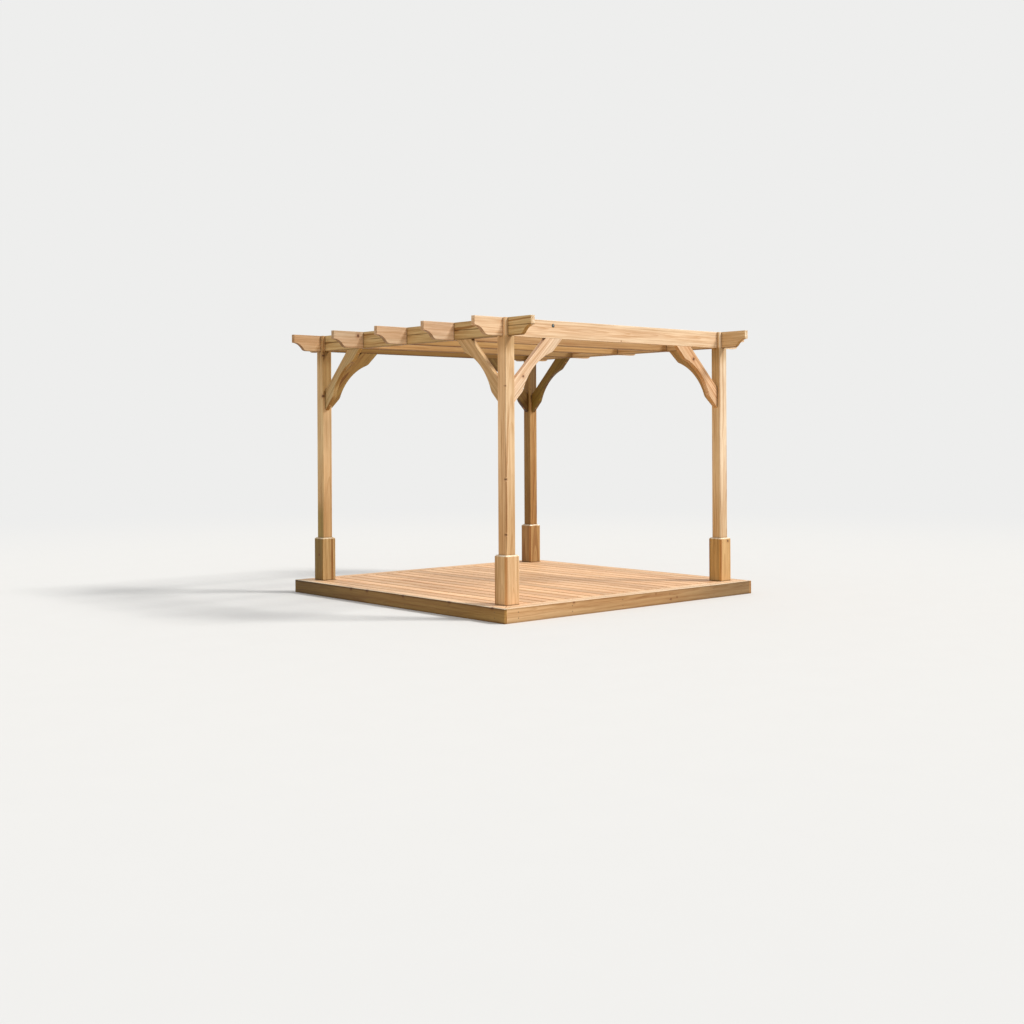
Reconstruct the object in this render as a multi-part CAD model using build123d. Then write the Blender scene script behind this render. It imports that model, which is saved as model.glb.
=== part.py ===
"""Timber garden pergola on a low square deck.

Four posts carry two beams and five rafters that lie in one plane. Every crossing is halved,
so the tops and the undersides are flush, and the four corner crossings sit in the crossed
slots of the post heads. Each timber ends in a tail with an ogee on its underside, and each
post has two arched knee braces and a boxed sleeve at its foot.

The frame stands on a deck of boards over joists, with a mitred border and a fascia round it.
Origin: centre of the deck at ground level. X runs along the rafters, Y along the beams, Z up.
The front is the -Y side and the left is the -X side. All sizes are in millimetres.
"""
from build123d import *
from math import sqrt
import os

# Frame
overall_height = 2540.0
post_spacing_x = 2750.0
post_spacing_y = 2750.0
post_size = 105.0
post_chamfer = 6.0
joint_clearance = 0.5

# Roof timbers
timber_thickness = 45.0
timber_depth = 155.0
timber_arris = 2.5
rafter_count = 5
rafter_overhang = 360.0
beam_overhang = 340.0

# Ogee tail: the height left at the nose, the length of the curve, and where it turns over
tail_nose = 78.0
tail_length = 150.0
tail_turn = 0.68

# Knee braces: a straight board, hollowed on its inner edge between two shoulders
brace_outer_leg = 385.0
brace_board_width = 138.0
brace_waist = 80.0
brace_shoulder = 118.0
brace_shoulder_radius = 90.0

# Post sleeves
sleeve_height = 420.0
sleeve_board = 20.0
sleeve_bevel = 12.0
sleeve_seam = 0.5

# Deck
deck_top = 125.0
deck_margin = 140.0
deck_board_nominal = 140.0
deck_board_thickness = 28.0
deck_board_arris = 3.0
deck_gap = 5.0
mitre_gap = 2.0
fascia_thickness = 25.0
fascia_arris = 3.0
joist_thickness = 45.0
joist_bays = 8

# Heights and lengths that follow
timber_underside = overall_height - timber_depth
slot_width = timber_thickness + 2 * joint_clearance
rafter_half = post_spacing_x / 2 + rafter_overhang
beam_half = post_spacing_y / 2 + beam_overhang
rafter_lines = [post_spacing_y * (i / (rafter_count - 1) - 1 / 2) for i in range(rafter_count)]
beam_lines = [-post_spacing_x / 2, post_spacing_x / 2]
sleeve_size = post_size + 2 * sleeve_board
field_x = post_spacing_x + sleeve_size
field_y = post_spacing_y + sleeve_size
deck_x = field_x + 2 * deck_margin
deck_y = field_y + 2 * deck_margin
joist_depth = deck_top - deck_board_thickness
sides = {"left": -1, "right": 1}
ends = {"front": -1, "back": 1}


def block(low, high):
    """A plain block between two opposite corners."""
    size = [b - a for a, b in zip(low, high)]
    centre = [(a + b) / 2 for a, b in zip(low, high)]
    return Pos(*centre) * Box(*size)


def ease(solid, face_axis, size):
    """Takes the sharp edges off both broad faces that look along an axis."""
    broad = solid.faces().filter_by(face_axis)
    return chamfer(broad.edges(), size)


def ease_top(solid, size):
    """Takes the sharp edges off the top face."""
    return chamfer(solid.faces().sort_by(Axis.Z)[-1].edges(), size)


def post():
    """A post with eased arrises and a crossed slot in its head, centred on its own Z axis."""
    half = post_size / 2
    shaft = block((-half, -half, deck_top), (half, half, overall_height))
    shaft = chamfer(shaft.edges().filter_by(Axis.Z), post_chamfer)
    wall = slot_width / 2
    slot_for_rafter = block((-half, -wall, timber_underside), (half, wall, overall_height))
    slot_for_beam = Rot(0, 0, 90) * slot_for_rafter
    return shaft - slot_for_rafter - slot_for_beam


def roof_timber(half_length):
    """A roof timber along X with its top at Z = 0 and an ogee under each tail."""
    nose = Vector(half_length, -tail_nose)
    toe = Vector(half_length - tail_length, -timber_depth)
    turn = nose + (toe - nose) * tail_turn
    with BuildPart() as timber:
        with BuildSketch(Plane.XZ):
            with BuildLine():
                Polyline((0, 0), (half_length, 0), nose)
                cove = TangentArc(nose, turn, tangent=(-1, 0))
                TangentArc(turn, toe, tangent=cove % 1)
                Line(toe, (0, -timber_depth))
                mirror(about=Plane.YZ)
            make_face()
        extrude(amount=timber_thickness / 2, both=True)
    return ease(timber.part, Axis.Y, timber_arris)


def notches(lines, low, high):
    """Half-depth notches across a timber, one at each line that it crosses."""
    half_gap = slot_width / 2
    half_cut = timber_thickness
    return [block((x - half_gap, -half_cut, low), (x + half_gap, half_cut, high)) for x in lines]


def rafter():
    """A rafter, notched from below over both beams."""
    return roof_timber(rafter_half) - notches(beam_lines, -timber_depth, -timber_depth / 2)


def beam():
    """A beam, notched from above for every rafter and turned to run along Y."""
    return Rot(0, 0, 90) * (roof_timber(beam_half) - notches(rafter_lines, -timber_depth / 2, 0))


def knee_brace():
    """A knee brace in the corner between a post face (X = 0) and a timber's underside (Z = 0)."""
    inner_leg = brace_outer_leg + brace_board_width * sqrt(2)
    waist = (brace_outer_leg + brace_waist * sqrt(2)) / 2
    upper_shoulder = Vector(inner_leg - brace_shoulder, -brace_shoulder)
    lower_shoulder = Vector(brace_shoulder, brace_shoulder - inner_leg)
    with BuildPart() as brace:
        with BuildSketch(Plane.XZ) as side:
            with BuildLine():
                Polyline((brace_outer_leg, 0), (inner_leg, 0), upper_shoulder)
                ThreePointArc(upper_shoulder, (waist, -waist), lower_shoulder)
                Polyline(lower_shoulder, (0, -inner_leg), (0, -brace_outer_leg), (brace_outer_leg, 0))
            make_face()
            for shoulder in (upper_shoulder, lower_shoulder):
                fillet(side.vertices().sort_by_distance(shoulder)[0], brace_shoulder_radius)
        extrude(amount=timber_thickness / 2, both=True)
    return ease(brace.part, Axis.Y, timber_arris)


def post_sleeve():
    """Four boards boxed round a post's foot: two full-width ones, and two between them."""
    outer = sleeve_size / 2
    inner = post_size / 2
    top = deck_top + sleeve_height
    casing = block((-outer, -outer, deck_top), (outer, outer, top))
    casing = ease_top(casing, sleeve_bevel)
    full = block((inner, -outer, deck_top), (outer, outer, top))
    between = block((sleeve_seam - inner, inner, deck_top), (inner - sleeve_seam, outer, top))
    boards = [full, mirror(full, Plane.YZ), between, mirror(between, Plane.XZ)]
    return [casing & board for board in boards]


def deck_border(deck_length, deck_width):
    """A mitred border board along X, just inside the fascia on the deck's -Y edge."""
    width = deck_margin - fascia_thickness
    relief = mitre_gap / sqrt(2)
    outer = deck_length / 2 - fascia_thickness - relief
    inner = outer - width
    outline = Polyline((-outer, 0), (outer, 0), (inner, width), (-inner, width), close=True)
    board = extrude(make_face(outline), deck_board_thickness)
    edge = Pos(0, fascia_thickness - deck_width / 2, joist_depth)
    return ease_top(edge * board, deck_board_arris)


def deck_boards():
    """The field of deck boards along Y, in whole boards close to the nominal width."""
    count = round((field_x - deck_gap) / (deck_board_nominal + deck_gap))
    width = (field_x - (count + 1) * deck_gap) / count
    half_length = field_y / 2 - deck_gap
    board = block((0, -half_length, joist_depth), (width, half_length, deck_top))
    board = ease_top(board, deck_board_arris)
    return [Pos(i * (width + deck_gap) + deck_gap - field_x / 2, 0, 0) * board for i in range(count)]


def deck_joists():
    """Joists along X: a bay pattern between the post lines, and a pair under each border."""
    bay_lines = [post_spacing_y * (i / joist_bays - 1 / 2) for i in range(joist_bays + 1)]
    border_lines = [field_y / 2, deck_y / 2 - fascia_thickness - joist_thickness / 2]
    lines = bay_lines + border_lines + [-y for y in border_lines]
    half = deck_x / 2 - fascia_thickness - joist_thickness
    width = joist_thickness / 2
    return [block((-half, y - width, 0), (half, y + width, joist_depth)) for y in lines]


def rim_joist(side):
    """A joist along Y that closes the ends of the others."""
    outer = deck_x / 2 - fascia_thickness
    half = deck_y / 2 - fascia_thickness
    joist = block((outer - joist_thickness, -half, 0), (outer, half, joist_depth))
    return Rot(0, 0, 90 - 90 * side) * joist


def side_fascia(side):
    """A left or right fascia board, which runs through the corners."""
    outer = deck_x / 2
    board = block((outer - fascia_thickness, -deck_y / 2, 0), (outer, deck_y / 2, deck_top))
    return Rot(0, 0, 90 - 90 * side) * ease_top(board, fascia_arris)


def end_fascia(end):
    """A front or back fascia board, which fits between the side ones."""
    outer = deck_y / 2
    half = deck_x / 2 - fascia_thickness
    board = block((-half, outer - fascia_thickness, 0), (half, outer, deck_top))
    return Rot(0, 0, 90 - 90 * end) * ease_top(board, fascia_arris)


def build_pergola():
    """Every piece in its place, as a dictionary from node name to a list of solids."""
    nodes = {}
    for end_name, end in ends.items():
        for side_name, side in sides.items():
            corner = Pos(side * post_spacing_x / 2, end * post_spacing_y / 2, 0)
            place = "%s_%s" % (end_name, side_name)
            nodes["post_" + place] = [corner * post()]
            nodes["post_sleeve_" + place] = [corner * board for board in post_sleeve()]
            seat = Pos(post_size / 2, 0, timber_underside)
            to_rafter = corner * Rot(0, 0, 90 + 90 * side) * seat
            to_beam = corner * Rot(0, 0, -90 * end) * seat
            nodes["brace_rafter_" + place] = [to_rafter * knee_brace()]
            nodes["brace_beam_" + place] = [to_beam * knee_brace()]
    roof = Pos(0, 0, overall_height)
    for side_name, side in sides.items():
        nodes["beam_" + side_name] = [Pos(side * post_spacing_x / 2, 0, 0) * roof * beam()]
    for i, line in enumerate(rafter_lines):
        name = {0: "front", rafter_count - 1: "back"}.get(i, str(i + 1))
        nodes["rafter_" + name] = [Pos(0, line, 0) * roof * rafter()]
    for side_name, side in sides.items():
        nodes["deck_border_" + side_name] = [Rot(0, 0, 90 * side) * deck_border(deck_y, deck_x)]
        nodes["fascia_" + side_name] = [side_fascia(side)]
        nodes["rim_joist_" + side_name] = [rim_joist(side)]
    for end_name, end in ends.items():
        nodes["deck_border_" + end_name] = [Rot(0, 0, 90 + 90 * end) * deck_border(deck_x, deck_y)]
        nodes["fascia_" + end_name] = [end_fascia(end)]
    nodes["deck_boards"] = deck_boards()
    nodes["deck_joists"] = deck_joists()
    return nodes


os.makedirs("parts", exist_ok=True)
for name, solids in build_pergola().items():
    piece = Compound(children=solids) if len(solids) > 1 else solids[0]
    piece.label = name
    export_step(piece, "parts/%s.step" % name)
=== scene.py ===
"""Looks of a timber garden pergola: the wood of every timber, the fixings, and the stage.

Lengths are in metres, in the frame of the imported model: X runs along the rafters, Y along the
beams and Z up, from the middle of the deck at ground level. The front is the -Y side and the
left is the -X side. Colours in the property groups are linear, and srgb() turns the familiar
0 to 255 figures into them. A pair of values says where a mark starts to show and where it shows
in full.
"""
import math
import random

import bmesh
import bpy
from bpy.props import FloatProperty, FloatVectorProperty, PointerProperty
from mathutils import Matrix, Vector


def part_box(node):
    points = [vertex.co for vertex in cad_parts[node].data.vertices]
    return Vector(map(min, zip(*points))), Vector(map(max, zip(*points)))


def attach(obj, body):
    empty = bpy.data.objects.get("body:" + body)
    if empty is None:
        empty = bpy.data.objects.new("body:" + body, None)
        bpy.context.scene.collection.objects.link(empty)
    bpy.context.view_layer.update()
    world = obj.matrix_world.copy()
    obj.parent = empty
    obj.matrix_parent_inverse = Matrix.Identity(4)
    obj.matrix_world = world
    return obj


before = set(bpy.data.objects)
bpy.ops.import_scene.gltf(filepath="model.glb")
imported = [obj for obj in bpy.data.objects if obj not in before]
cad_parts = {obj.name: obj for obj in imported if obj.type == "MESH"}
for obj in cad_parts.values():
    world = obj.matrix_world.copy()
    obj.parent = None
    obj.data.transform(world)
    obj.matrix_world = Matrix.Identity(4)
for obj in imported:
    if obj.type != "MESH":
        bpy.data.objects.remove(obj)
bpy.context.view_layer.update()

bl_info = {
    "name": "Garden Pergola Looks",
    "version": (1, 0, 0),
    "blender": (4, 5, 0),
    "location": "3D View > Sidebar > Pergola",
    "description": "Dresses the timber frame and deck of a garden pergola and sets its stage",
    "category": "Object",
}

BODY = "root"

SIDES = {"left": -1, "right": 1}
ENDS = {"front": -1, "back": 1}
CORNERS = [(end, side) for end in ENDS for side in SIDES]
FACINGS = {
    "-X": Vector((-1, 0, 0)),
    "+X": Vector((1, 0, 0)),
    "-Y": Vector((0, -1, 0)),
    "+Y": Vector((0, 1, 0)),
}
DECK_EDGES = {"left": "-X", "right": "+X", "front": "-Y", "back": "+Y"}
ALONG_X = Vector((1, 0, 0))
ALONG_Y = Vector((0, 1, 0))
UPRIGHT = Vector((0, 0, 1))
WHITE = (1.0, 1.0, 1.0)


def srgb(red, green, blue):
    """A linear colour from the 0 to 255 figures of a picture."""
    def linear(part):
        part /= 255
        return part / 12.92 if part <= 0.04045 else ((part + 0.055) / 1.055) ** 2.4
    return tuple(linear(part) for part in (red, green, blue))


def colour(name, description, *figures):
    """A colour property whose default is given in 0 to 255 figures."""
    return FloatVectorProperty(
        name=name, description=description, default=srgb(*figures),
        subtype="COLOR", size=3, min=0.0, max=1.0)


def length(name, description, default):
    """A length property in metres."""
    return FloatProperty(
        name=name, description=description, default=default, min=0.0,
        subtype="DISTANCE", unit="LENGTH", precision=4)


def share(name, description, default):
    """A property that is a share of something."""
    return FloatProperty(
        name=name, description=description, default=default, min=0.0, soft_max=1.0,
        subtype="FACTOR")


def angle(name, description, degrees):
    """An angle property whose default is given in degrees."""
    return FloatProperty(
        name=name, description=description, default=math.radians(degrees),
        subtype="ANGLE", unit="ROTATION")


class PergolaColours(bpy.types.PropertyGroup):
    """The mean colour of each kind of timber, and of what is in and on it."""

    post_timber: colour("Posts", "Mean colour of the four posts", 226, 186, 141)
    sleeve_board: colour("Sleeves", "Mean colour of the boards round the posts' feet", 225, 181, 130)
    brace_timber: colour("Braces", "Mean colour of the knee braces", 229, 188, 146)
    roof_timber: colour("Roof timbers", "Mean colour of the beams and rafters", 240, 207, 173)
    deck_board: colour("Deck boards", "Mean colour of the deck boards and their border", 232, 189, 145)
    fascia_board: colour("Fascias", "Mean colour of the boards round the deck's edge", 212, 166, 118)
    joist_timber: colour("Joists", "Mean colour of the joists under the deck", 196, 160, 108)
    late_tint: colour("Late wood", "What the dark part of a ring leaves of the colour", 226, 212, 192)
    line_tint: colour("Grain lines", "What a run of dense rings leaves of the colour", 196, 164, 128)
    heart_tint: colour("Heartwood", "What the wood near the pith leaves of the colour", 254, 245, 238)
    # Painted shade on undersides and inside the roof
    painted_shade_tint: colour("Sheltered wood", "What the roof's shade leaves of the colour", 217, 202, 167)
    # Painted highlight on sleeve bevels, beam ends, fascia tops and the right ogees
    pale_highlight: colour("Fresh wood", "Bevels and cut ends that are still pale", 247, 231, 205)
    stain_tint: colour("Stained edges", "What the dirt along a deck board's edges leaves", 214, 178, 136)
    # Also painted shade in creases, along lower edges, under the fascias' lips and on the left ogees
    gap_and_shade_tint: colour("Gaps", "What a seam or a drying check leaves of the mean colour", 149, 129, 104)
    joint_tint: colour("Stained joints", "What the stain along a sleeve's joint leaves", 194, 160, 114)
    # A post is darker towards its foot
    foot_tint: colour("Post feet", "What splashing rain leaves of a post's colour", 241, 235, 224)
    head_tint: colour("Post heads", "What the roof's shade leaves of a post's colour", 230, 224, 210)
    knot: colour("Knots", "The heart of a knot", 96, 58, 32)
    knot_halo: colour("Round knots", "The wood that flows round a knot", 186, 128, 78)
    screw: colour("Screws", "Coated deck and fascia screws", 120, 100, 74)
    # Painted shade in the recesses of screws and round the rims of small fixings
    screw_recess: colour("Screw recess", "The shaded drive recess of a screw", 40, 32, 25)
    zinc: colour("Bolt", "The zinc-plated bolt in the front rafter", 112, 124, 126)
    washer: colour("Washer", "The weathered washer under the bolt's head", 66, 66, 54)


class PergolaGrain(bpy.types.PropertyGroup):
    """How the wood is grown and planed."""

    ring_width: length("Ring width", "Distance from one growth ring to the next", 0.0056)
    band_width: length("Band width", "Width of a run of lean or good years", 0.020)
    line_width: length("Line spacing", "Rough distance from one dark grain line to the next", 0.012)
    ring_strength: share("Rings", "How strongly single growth rings show", 0.45)
    band_strength: share("Bands", "How strongly lean and good years show", 0.80)
    line_strength: share("Lines", "How strongly runs of dense rings show", 0.95)
    fibre_strength: share("Fibres", "How strongly streaks along the grain show", 2.40)
    taper: share("Taper", "How fast a log narrows along its length", 0.012)
    knot_share: share("Small knots", "Share of the places for a small knot that have one", 0.13)
    crease_reach: length("Crease reach", "How far dirt and shade creep out of a joint", 0.022)
    crease_strength: share("Creases", "How dark the joints between timbers are", 0.85)
    # Paler edges are partly wear and partly a painted highlight
    edge_reach: length("Edge reach", "How far in from an edge the wood is worn pale", 0.008)
    edge_strength: share("Edges", "How much paler the worn edges are", 0.35)
    relief: length("Relief", "Height of the grain that can be felt", 0.0004)


class PergolaFixings(bpy.types.PropertyGroup):
    """Screws, pins, plugs and the bolt."""

    screw_radius: length("Screw head", "Radius of a deck screw's head", 0.0042)
    screw_rise: length("Screw rise", "How far a countersunk head stands over the board", 0.0004)
    screw_inset: length("Screw inset", "From a deck board's edge to its screws", 0.026)
    screw_end: length("End distance", "Least distance from a board's end to a screw", 0.015)
    border_pitch: length("Border pitch", "Distance between screws along the border boards", 0.36)
    fascia_pitch: length("Fascia pitch", "Distance between pairs of screws in a fascia", 0.6175)
    fascia_margin: length("Fascia margin", "From a fascia's end to its first pair", 0.1275)
    pair_spacing: length("Pair spacing", "Height from one screw of a pair to the other", 0.050)
    plug_radius: length("Plug", "Radius of the wooden plugs over the brace screws", 0.009)
    plug_rise: length("Plug rise", "How far a plug stands over the brace", 0.0006)
    pin_radius: length("Pin", "Radius of the pins that hold the sleeve boards", 0.0014)
    bolt_radius: length("Bolt head", "Radius of the bolt's round head", 0.011)
    washer_radius: length("Washer", "Radius of the washer under the bolt's head", 0.016)
    washer_rise: length("Washer rise", "How thick the washer is", 0.0014)
    bolt_along: FloatProperty(
        name="Bolt place", description="Where the bolt is along the front rafter", default=-0.852,
        subtype="DISTANCE", unit="LENGTH")
    bolt_drop: length("Bolt drop", "From the rafter's top down to the bolt", 0.044)


class PergolaStage(bpy.types.PropertyGroup):
    """The floor, the lamps and the camera."""

    floor_radius: length("Floor", "Radius of the floor", 60.0)
    fade_start: length("Fade start", "Where the floor starts to fade into the background", 5.0)
    fade_end: length("Fade end", "Where the floor has faded", 16.0)
    floor: colour("Floor", "The floor as the camera sees it", 226, 226, 225)
    floor_bounce: colour("Floor bounce", "The floor as the object is lit by it", 202, 184, 157)
    background: colour("Background", "What is seen past the floor", 238, 238, 237)
    key: colour("Key light", "Colour of the sun lamp", 255, 252, 247)
    fill: colour("Fill light", "Colour of the light from all round", 252, 252, 252)
    key_strength: FloatProperty(
        name="Key strength", description="Power of the sun lamp", default=2.7, min=0.0)
    fill_strength: FloatProperty(
        name="Fill strength", description="Strength of the light from all round", default=0.60,
        min=0.0)
    key_height: angle("Key height", "Angle of the sun lamp over the floor", 45)
    key_bearing: angle("Key bearing", "Angle of the sun lamp from the front to the right", 43)
    key_size: angle("Key size", "How wide the sun lamp looks, which softens its shadows", 14)
    camera_place: FloatVectorProperty(
        name="Camera place", description="Where the camera stands", default=(-8.928, -10.058, 1.558),
        size=3, subtype="TRANSLATION", unit="LENGTH")
    camera_turn: angle("Camera turn", "From the back towards the right", 41.257)
    camera_roll: angle("Camera roll", "Tilt of the picture", -0.276)
    camera_lens: FloatProperty(
        name="Lens", description="Focal length on a sensor 36 mm wide", default=48.07,
        min=1.0, unit="CAMERA")
    camera_shift: FloatProperty(
        name="Shift", description="Upward shift of the lens, as a share of the picture's width",
        default=-0.0759)


def arithmetic(operation):
    """Two methods that add a Math node: with the signal first, and with it second."""
    def first(self, other):
        return self.maths(operation, self, other)

    def second(self, other):
        return self.maths(operation, other, self)
    return first, second


class Signal:
    """A value that varies over a surface. Python arithmetic on it adds Math nodes."""

    __add__, __radd__ = arithmetic("ADD")
    __sub__, __rsub__ = arithmetic("SUBTRACT")
    __mul__, __rmul__ = arithmetic("MULTIPLY")
    __truediv__, __rtruediv__ = arithmetic("DIVIDE")

    def __init__(self, paint, node, output=0):
        self.paint = paint
        self.node = node
        self.socket = node.outputs[output]

    def __abs__(self):
        return self.maths("ABSOLUTE", self)

    def output(self, name):
        """Another output of the same node."""
        return Signal(self.paint, self.node, name)

    def maths(self, operation, *values):
        """A Math node with these values or links."""
        return self.paint.node("ShaderNodeMath", {"operation": operation}, dict(enumerate(values)))

    def floor(self):
        """The whole number below."""
        return self.maths("FLOOR", self)

    def at_least(self, other):
        """The larger of the two."""
        return self.maths("MAXIMUM", self, other)

    def at_most(self, other):
        """The smaller of the two."""
        return self.maths("MINIMUM", self, other)

    def clamp(self):
        """The value kept between 0 and 1."""
        return self.at_least(0.0).at_most(1.0)

    def rise(self, low, high):
        """0 up to low, 1 from high on, and smooth between. It falls where high is under low."""
        ends = {"From Min": low, "From Max": high, "To Min": 0.0, "To Max": 1.0}
        if high < low:
            ends = {"From Min": high, "From Max": low, "To Min": 1.0, "To Max": 0.0}
        settings = {"interpolation_type": "SMOOTHSTEP"}
        return self.paint.node("ShaderNodeMapRange", settings, {"Value": self, **ends})

    def between(self, start, end):
        """A rise and a fall, each from its pair of values."""
        return self.rise(*start) * self.rise(*end)

    def square_to(self, other):
        """The distance that two distances at right angles make together."""
        return self.paint.size(self.paint.join(self, other, 0.0))


class Paint:
    """A node tree being filled, with one method that adds any node."""

    def __init__(self, tree):
        self.tree = tree
        tree.nodes.clear()

    def node(self, kind, settings=None, sockets=None, output=0):
        """Adds a node: its settings first, then the values or links of its sockets."""
        node = self.tree.nodes.new(kind)
        for key, value in (settings or {}).items():
            setattr(node, key, value)
        for key, value in (sockets or {}).items():
            if isinstance(value, Signal):
                self.tree.links.new(value.socket, node.inputs[key])
            else:
                node.inputs[key].default_value = value
        return Signal(self, node, output)

    def vector(self, operation, *values, output=0):
        """A Vector Math node with these values or links."""
        settings = {"operation": operation}
        return self.node("ShaderNodeVectorMath", settings, dict(enumerate(values)), output)

    def dot(self, first, second):
        """How far one vector goes along another."""
        return self.vector("DOT_PRODUCT", first, second, output="Value")

    def size(self, vector):
        """The length of a vector."""
        return self.vector("LENGTH", vector, output="Value")

    def scale(self, vector, factor):
        """A vector or colour times a number."""
        settings = {"operation": "SCALE"}
        return self.node("ShaderNodeVectorMath", settings, {0: vector, "Scale": factor})

    def join(self, x, y, z):
        """A vector from three numbers."""
        return self.node("ShaderNodeCombineXYZ", None, {"X": x, "Y": y, "Z": z})

    def mix(self, factor, first, second):
        """One colour going over into another."""
        sockets = {0: factor, 6: rgba(first), 7: rgba(second)}
        return self.node("ShaderNodeMix", {"data_type": "RGBA"}, sockets, 2)

    def tint(self, body, mask, tint):
        """A colour with a tint over it where the mask is 1."""
        return self.vector("MULTIPLY", body, self.mix(mask, WHITE, tint))

    def point(self):
        """Where a point lies, in the row frame."""
        return self.node("ShaderNodeTexCoord", None, None, "Object")

    def noise(self, place, detail=2.0, roughness=0.5):
        """Smooth noise from 0 to 1 with features about one unit apart."""
        sockets = {"Vector": place, "Scale": 1.0, "Detail": detail, "Roughness": roughness}
        return self.node("ShaderNodeTexNoise", None, sockets)

    def noise_line(self, place, detail=2.0):
        """Smooth noise from 0 to 1 along a line."""
        sockets = {"W": place, "Scale": 1.0, "Detail": detail}
        return self.node("ShaderNodeTexNoise", {"noise_dimensions": "1D"}, sockets)

    def chance(self, number):
        """A random value from 0 to 1 that belongs to a number."""
        return self.node("ShaderNodeTexWhiteNoise", {"noise_dimensions": "1D"}, {"W": number})

    def surface(self, sockets):
        """A Principled shader with these values or links."""
        return self.node("ShaderNodeBsdfPrincipled", None, sockets)

    def finish(self, shader, kind="ShaderNodeOutputMaterial"):
        """Leads a shader to the tree's output."""
        end = self.tree.nodes.new(kind)
        self.tree.links.new(shader.socket, end.inputs["Surface"])


def rgba(value):
    """A colour for a Mix socket: a link as it is, or three figures with full alpha."""
    return value if isinstance(value, Signal) else (*value[:3], 1.0)


def new_material(name):
    """An empty material and the paint to fill it with."""
    material = bpy.data.materials.new(name)
    material.use_nodes = True
    return material, Paint(material.node_tree)


def times(first, second):
    """Two colours multiplied part by part."""
    return tuple(a * b for a, b in zip(first, second))


class Knot:
    """A knot that comes out on a face of one timber."""

    def __init__(self, node, facing, place, radius):
        self.node = node
        self.facing = FACINGS[facing]
        self.place = Vector(place)
        self.radius = radius


# Knots that show from the front left corner, each with its face, place and radius
KNOTS = (
    Knot("brace_rafter_front_left", "-Y", (-1.201, -1.398, 2.049), 0.010),
    Knot("brace_rafter_front_right", "-Y", (0.978, -1.398, 2.267), 0.014),
    Knot("post_front_left", "-Y", (-1.423, -1.428, 1.181), 0.007),
    Knot("post_front_left", "-Y", (-1.423, -1.428, 0.717), 0.007),
    Knot("post_front_left", "-Y", (-1.424, -1.428, 1.964), 0.004),
    Knot("post_back_left", "-X", (-1.428, 1.330, 1.944), 0.013),
    Knot("post_back_left", "-X", (-1.428, 1.328, 2.344), 0.009),
    Knot("post_sleeve_back_left", "-X", (-1.448, 1.370, 0.376), 0.009),
    Knot("post_sleeve_front_right", "-Y", (1.408, -1.448, 0.512), 0.010),
    Knot("rafter_4", "-Y", (-1.460, 0.665, 2.500), 0.015),
    Knot("rafter_front", "-Y", (-0.009, -1.398, 2.396), 0.004),
    Knot("fascia_left", "-X", (-1.588, 0.618, 0.112), 0.011),
    Knot("fascia_left", "-X", (-1.588, 0.359, 0.116), 0.013),
    Knot("fascia_left", "-X", (-1.588, -0.198, 0.114), 0.011),
    Knot("fascia_left", "-X", (-1.588, -0.858, 0.119), 0.011),
    Knot("fascia_left", "-X", (-1.588, -1.428, 0.120), 0.011),
    Knot("fascia_front", "-Y", (-0.800, -1.588, 0.112), 0.007),
    Knot("fascia_front", "-Y", (0.231, -1.588, 0.103), 0.006),
    Knot("fascia_front", "-Y", (0.432, -1.588, 0.041), 0.007),
    Knot("fascia_front", "-Y", (0.514, -1.588, 0.052), 0.006),
)

# How the colour of a node's timber differs from the mean of its kind: partly its own tone, partly
# painted light and shade, above all painted shade on the darker nodes at the back, inside the roof and
# on the left
TONES_AND_SHADE = {
    "post_front_left": (0.91, 0.95, 0.98),
    "post_front_right": (1.15, 1.30, 1.63),
    "post_back_left": (0.87, 0.92, 0.83),
    "post_back_right": (0.48, 0.43, 0.28),
    "post_sleeve_front_left": (0.94, 1.00, 1.06),
    "post_sleeve_front_right": (0.72, 0.72, 0.56),
    "post_sleeve_back_left": (0.54, 0.58, 0.46),
    "post_sleeve_back_right": (0.58, 0.54, 0.42),
    "brace_rafter_front_left": (1.08, 1.27, 1.60),
    "brace_rafter_front_right": (1.01, 1.05, 1.12),
    "brace_beam_front_left": (0.84, 0.88, 0.76),
    "brace_beam_front_right": (0.60, 0.57, 0.38),
    "brace_beam_back_left": (0.72, 0.81, 0.68),
    "brace_rafter_back_left": (0.33, 0.30, 0.14),
    "brace_beam_back_right": (0.26, 0.25, 0.07),
    "brace_rafter_back_right": (0.19, 0.17, 0.07),
    "beam_left": (0.74, 0.72, 0.50),
    "beam_right": (0.79, 0.74, 0.56),
    "rafter_2": (0.79, 0.79, 0.79),
    "rafter_3": (0.77, 0.78, 0.77),
    "rafter_4": (0.62, 0.62, 0.59),
    "rafter_back": (0.64, 0.59, 0.49),
    "deck_border_front": (1.00, 1.10, 1.22),
    "deck_border_left": (1.02, 1.07, 1.14),
    "fascia_front": (0.74, 0.77, 0.74),
    "fascia_left": (0.48, 0.47, 0.29),
    "fascia_back": (0.72, 0.75, 0.70),
    "fascia_right": (0.72, 0.75, 0.70),
}

# The least share of the mean colour on the faces that look to the back and to the right, where the
# painted shade in the tones is lifted
OPEN_TONE = 0.72

# How one side of a post, or one board of a sleeve, differs from the rest of it: painted light and shade,
# as one side is lit and another is in shade
SIDE_LIGHT_AND_SHADE = {
    "post_front_left": {"-X": (1.20, 1.15, 1.08)},
    "post_front_right": {"-X": (0.97, 0.90, 0.71)},
    "post_back_left": {"-Y": (0.93, 0.88, 0.90)},
    "post_back_right": {"-X": (0.80, 0.76, 0.56), "-Y": (1.15, 1.08, 1.06)},
    "post_sleeve_front_left": {"-X": (0.98, 0.97, 0.92), "-Y": (0.96, 0.97, 1.03)},
    "post_sleeve_front_right": {"-X": (1.02, 1.02, 0.92), "-Y": (1.25, 1.27, 1.50)},
    "post_sleeve_back_left": {"-X": (0.62, 0.60, 0.40), "-Y": (1.22, 1.21, 1.36)},
}

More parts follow.
